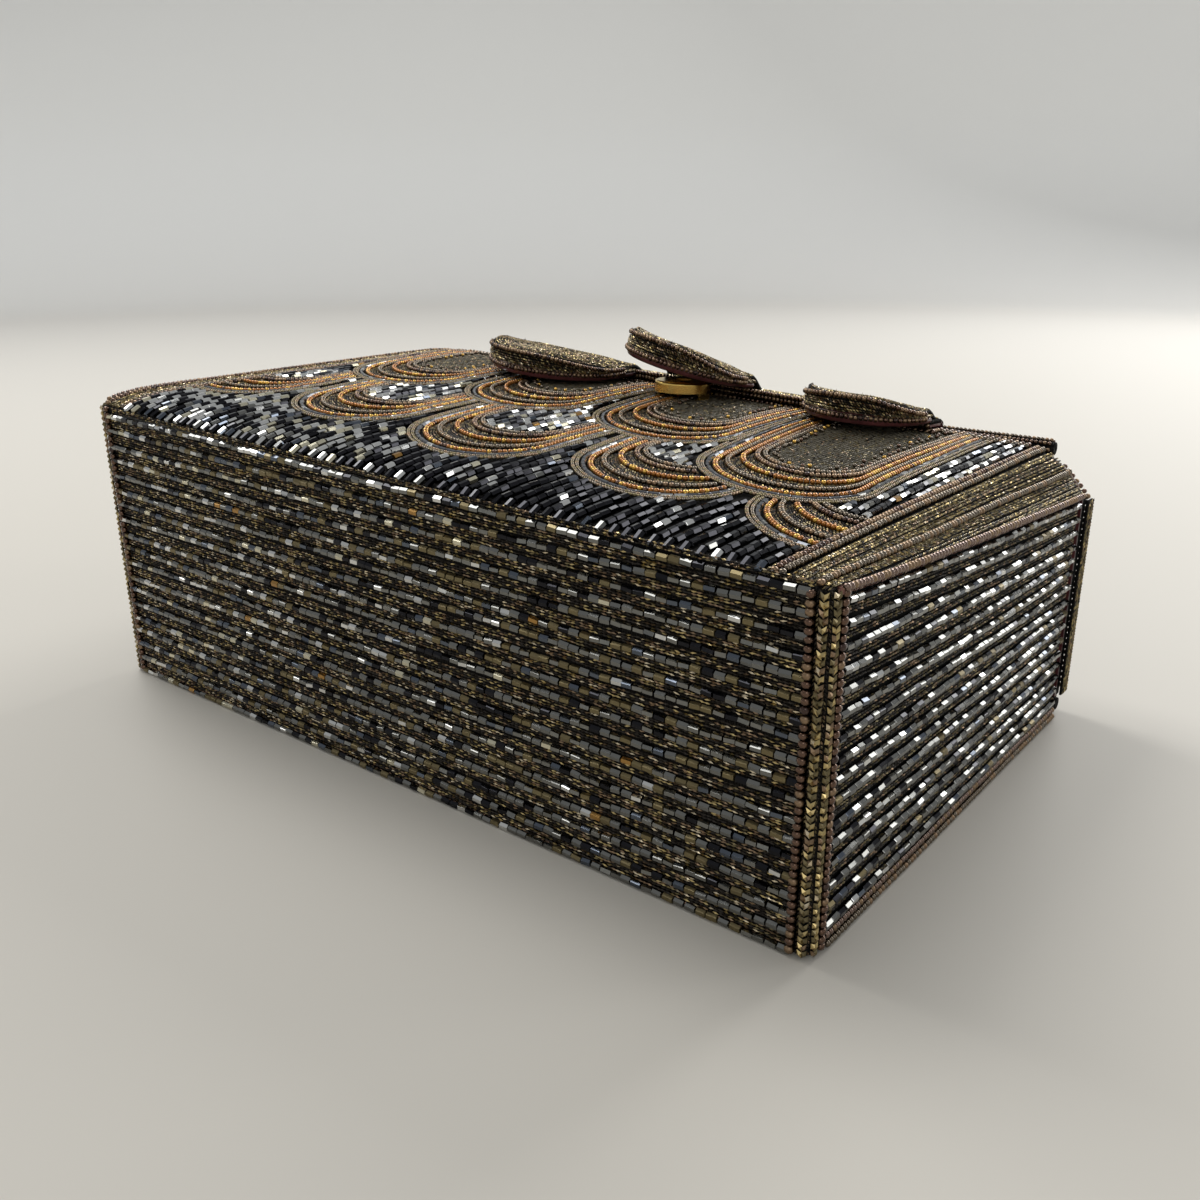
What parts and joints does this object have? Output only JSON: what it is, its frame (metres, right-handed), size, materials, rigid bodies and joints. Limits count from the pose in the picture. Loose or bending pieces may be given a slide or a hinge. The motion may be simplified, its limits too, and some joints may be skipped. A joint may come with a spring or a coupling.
{
  "type": "evening bag",
  "caption": "Box-shaped beaded evening bag lying on its back, with a fold-over lid, a scalloped three-petal flap and a magnetic snap",
  "frame": {"origin": "middle of the object on the surface that its back rests on", "axes": "+X along the bag from its left end to its right end, +Y from its bottom to its mouth, +Z out of its front"},
  "size_m": [0.2, 0.124, 0.0837],
  "materials": {
    "bugle_beadwork": "rows of short cut gunmetal glass bugle beads between bronze metallic thread and seed beads on black cloth",
    "seed_beadwork": "rows of bronze and olive-gold glass seed beads",
    "lining_satin": "burgundy satin",
    "greyboard": "matt pressed board",
    "padding": "soft wadding",
    "piping_cord": "burgundy twisted cord",
    "gold_metal": "polished gold plate",
    "magnet": "dull grey",
    "steel_plate": "plain pressed steel"
  },
  "bodies": {
    "box": {"back_board": "greyboard", "back_cover": "bugle_beadwork", "back_fold_welt": "seed_beadwork", "back_lining": "lining_satin", "bottom_board": "greyboard", "bottom_cover": "bugle_beadwork", "bottom_lining": "lining_satin", "front_board": "greyboard", "front_cover": "bugle_beadwork", "front_lining": "lining_satin", "front_padding": "padding", "left_corner_braid": "seed_beadwork", "left_end_board": "greyboard", "left_end_cover": "bugle_beadwork", "left_end_lining": "lining_satin", "left_piping": "piping_cord", "right_corner_braid": "seed_beadwork", "right_end_board": "greyboard", "right_end_cover": "bugle_beadwork", "right_end_lining": "lining_satin", "right_piping": "piping_cord", "snap_magnet": "magnet", "snap_socket": "gold_metal", "snap_socket_plate": "steel_plate"},
    "lid": {"lid_cover": "bugle_beadwork", "lid_board": "greyboard", "lid_lining": "lining_satin", "flap_fold_welt": "seed_beadwork"},
    "flap": {"flap_yoke_lining": "lining_satin", "flap_yoke_cover": "seed_beadwork"},
    "petal_left": {"petal_left_board": "greyboard", "petal_left_cover": "seed_beadwork", "petal_left_lining": "lining_satin"},
    "petal_centre": {"petal_centre_board": "greyboard", "petal_centre_cover": "seed_beadwork", "petal_centre_lining": "lining_satin", "snap_stud": "gold_metal", "snap_stud_plate": "steel_plate"},
    "petal_right": {"petal_right_board": "greyboard", "petal_right_cover": "seed_beadwork", "petal_right_lining": "lining_satin"}
  },
  "joints": [
    {"name": "lid_fold", "type": "hinge", "parent": "box", "child": "lid", "pos_m": [0, 0.05955, 0.0024], "axis": [-1, 0, 0], "range_deg": [0, 80]},
    {"name": "flap_fold", "type": "hinge", "parent": "lid", "child": "flap", "pos_m": [0, 0.05955, 0.0628], "axis": [-1, 0, 0], "range_deg": [0, 75]},
    {"name": "petal_left_lift", "type": "hinge", "parent": "flap", "child": "petal_left", "pos_m": [-0.039, 0.05, 0.0725], "axis": [-1, 0, 0], "range_deg": [-1.5, 25]},
    {"name": "petal_centre_lift", "type": "hinge", "parent": "flap", "child": "petal_centre", "pos_m": [0.0025, 0.05, 0.0745], "axis": [-1, 0, 0], "range_deg": [-1.5, 25]},
    {"name": "petal_right_lift", "type": "hinge", "parent": "flap", "child": "petal_right", "pos_m": [0.0505, 0.05, 0.0683], "axis": [-1, 0, 0], "range_deg": [-1.5, 25]}
  ]
}
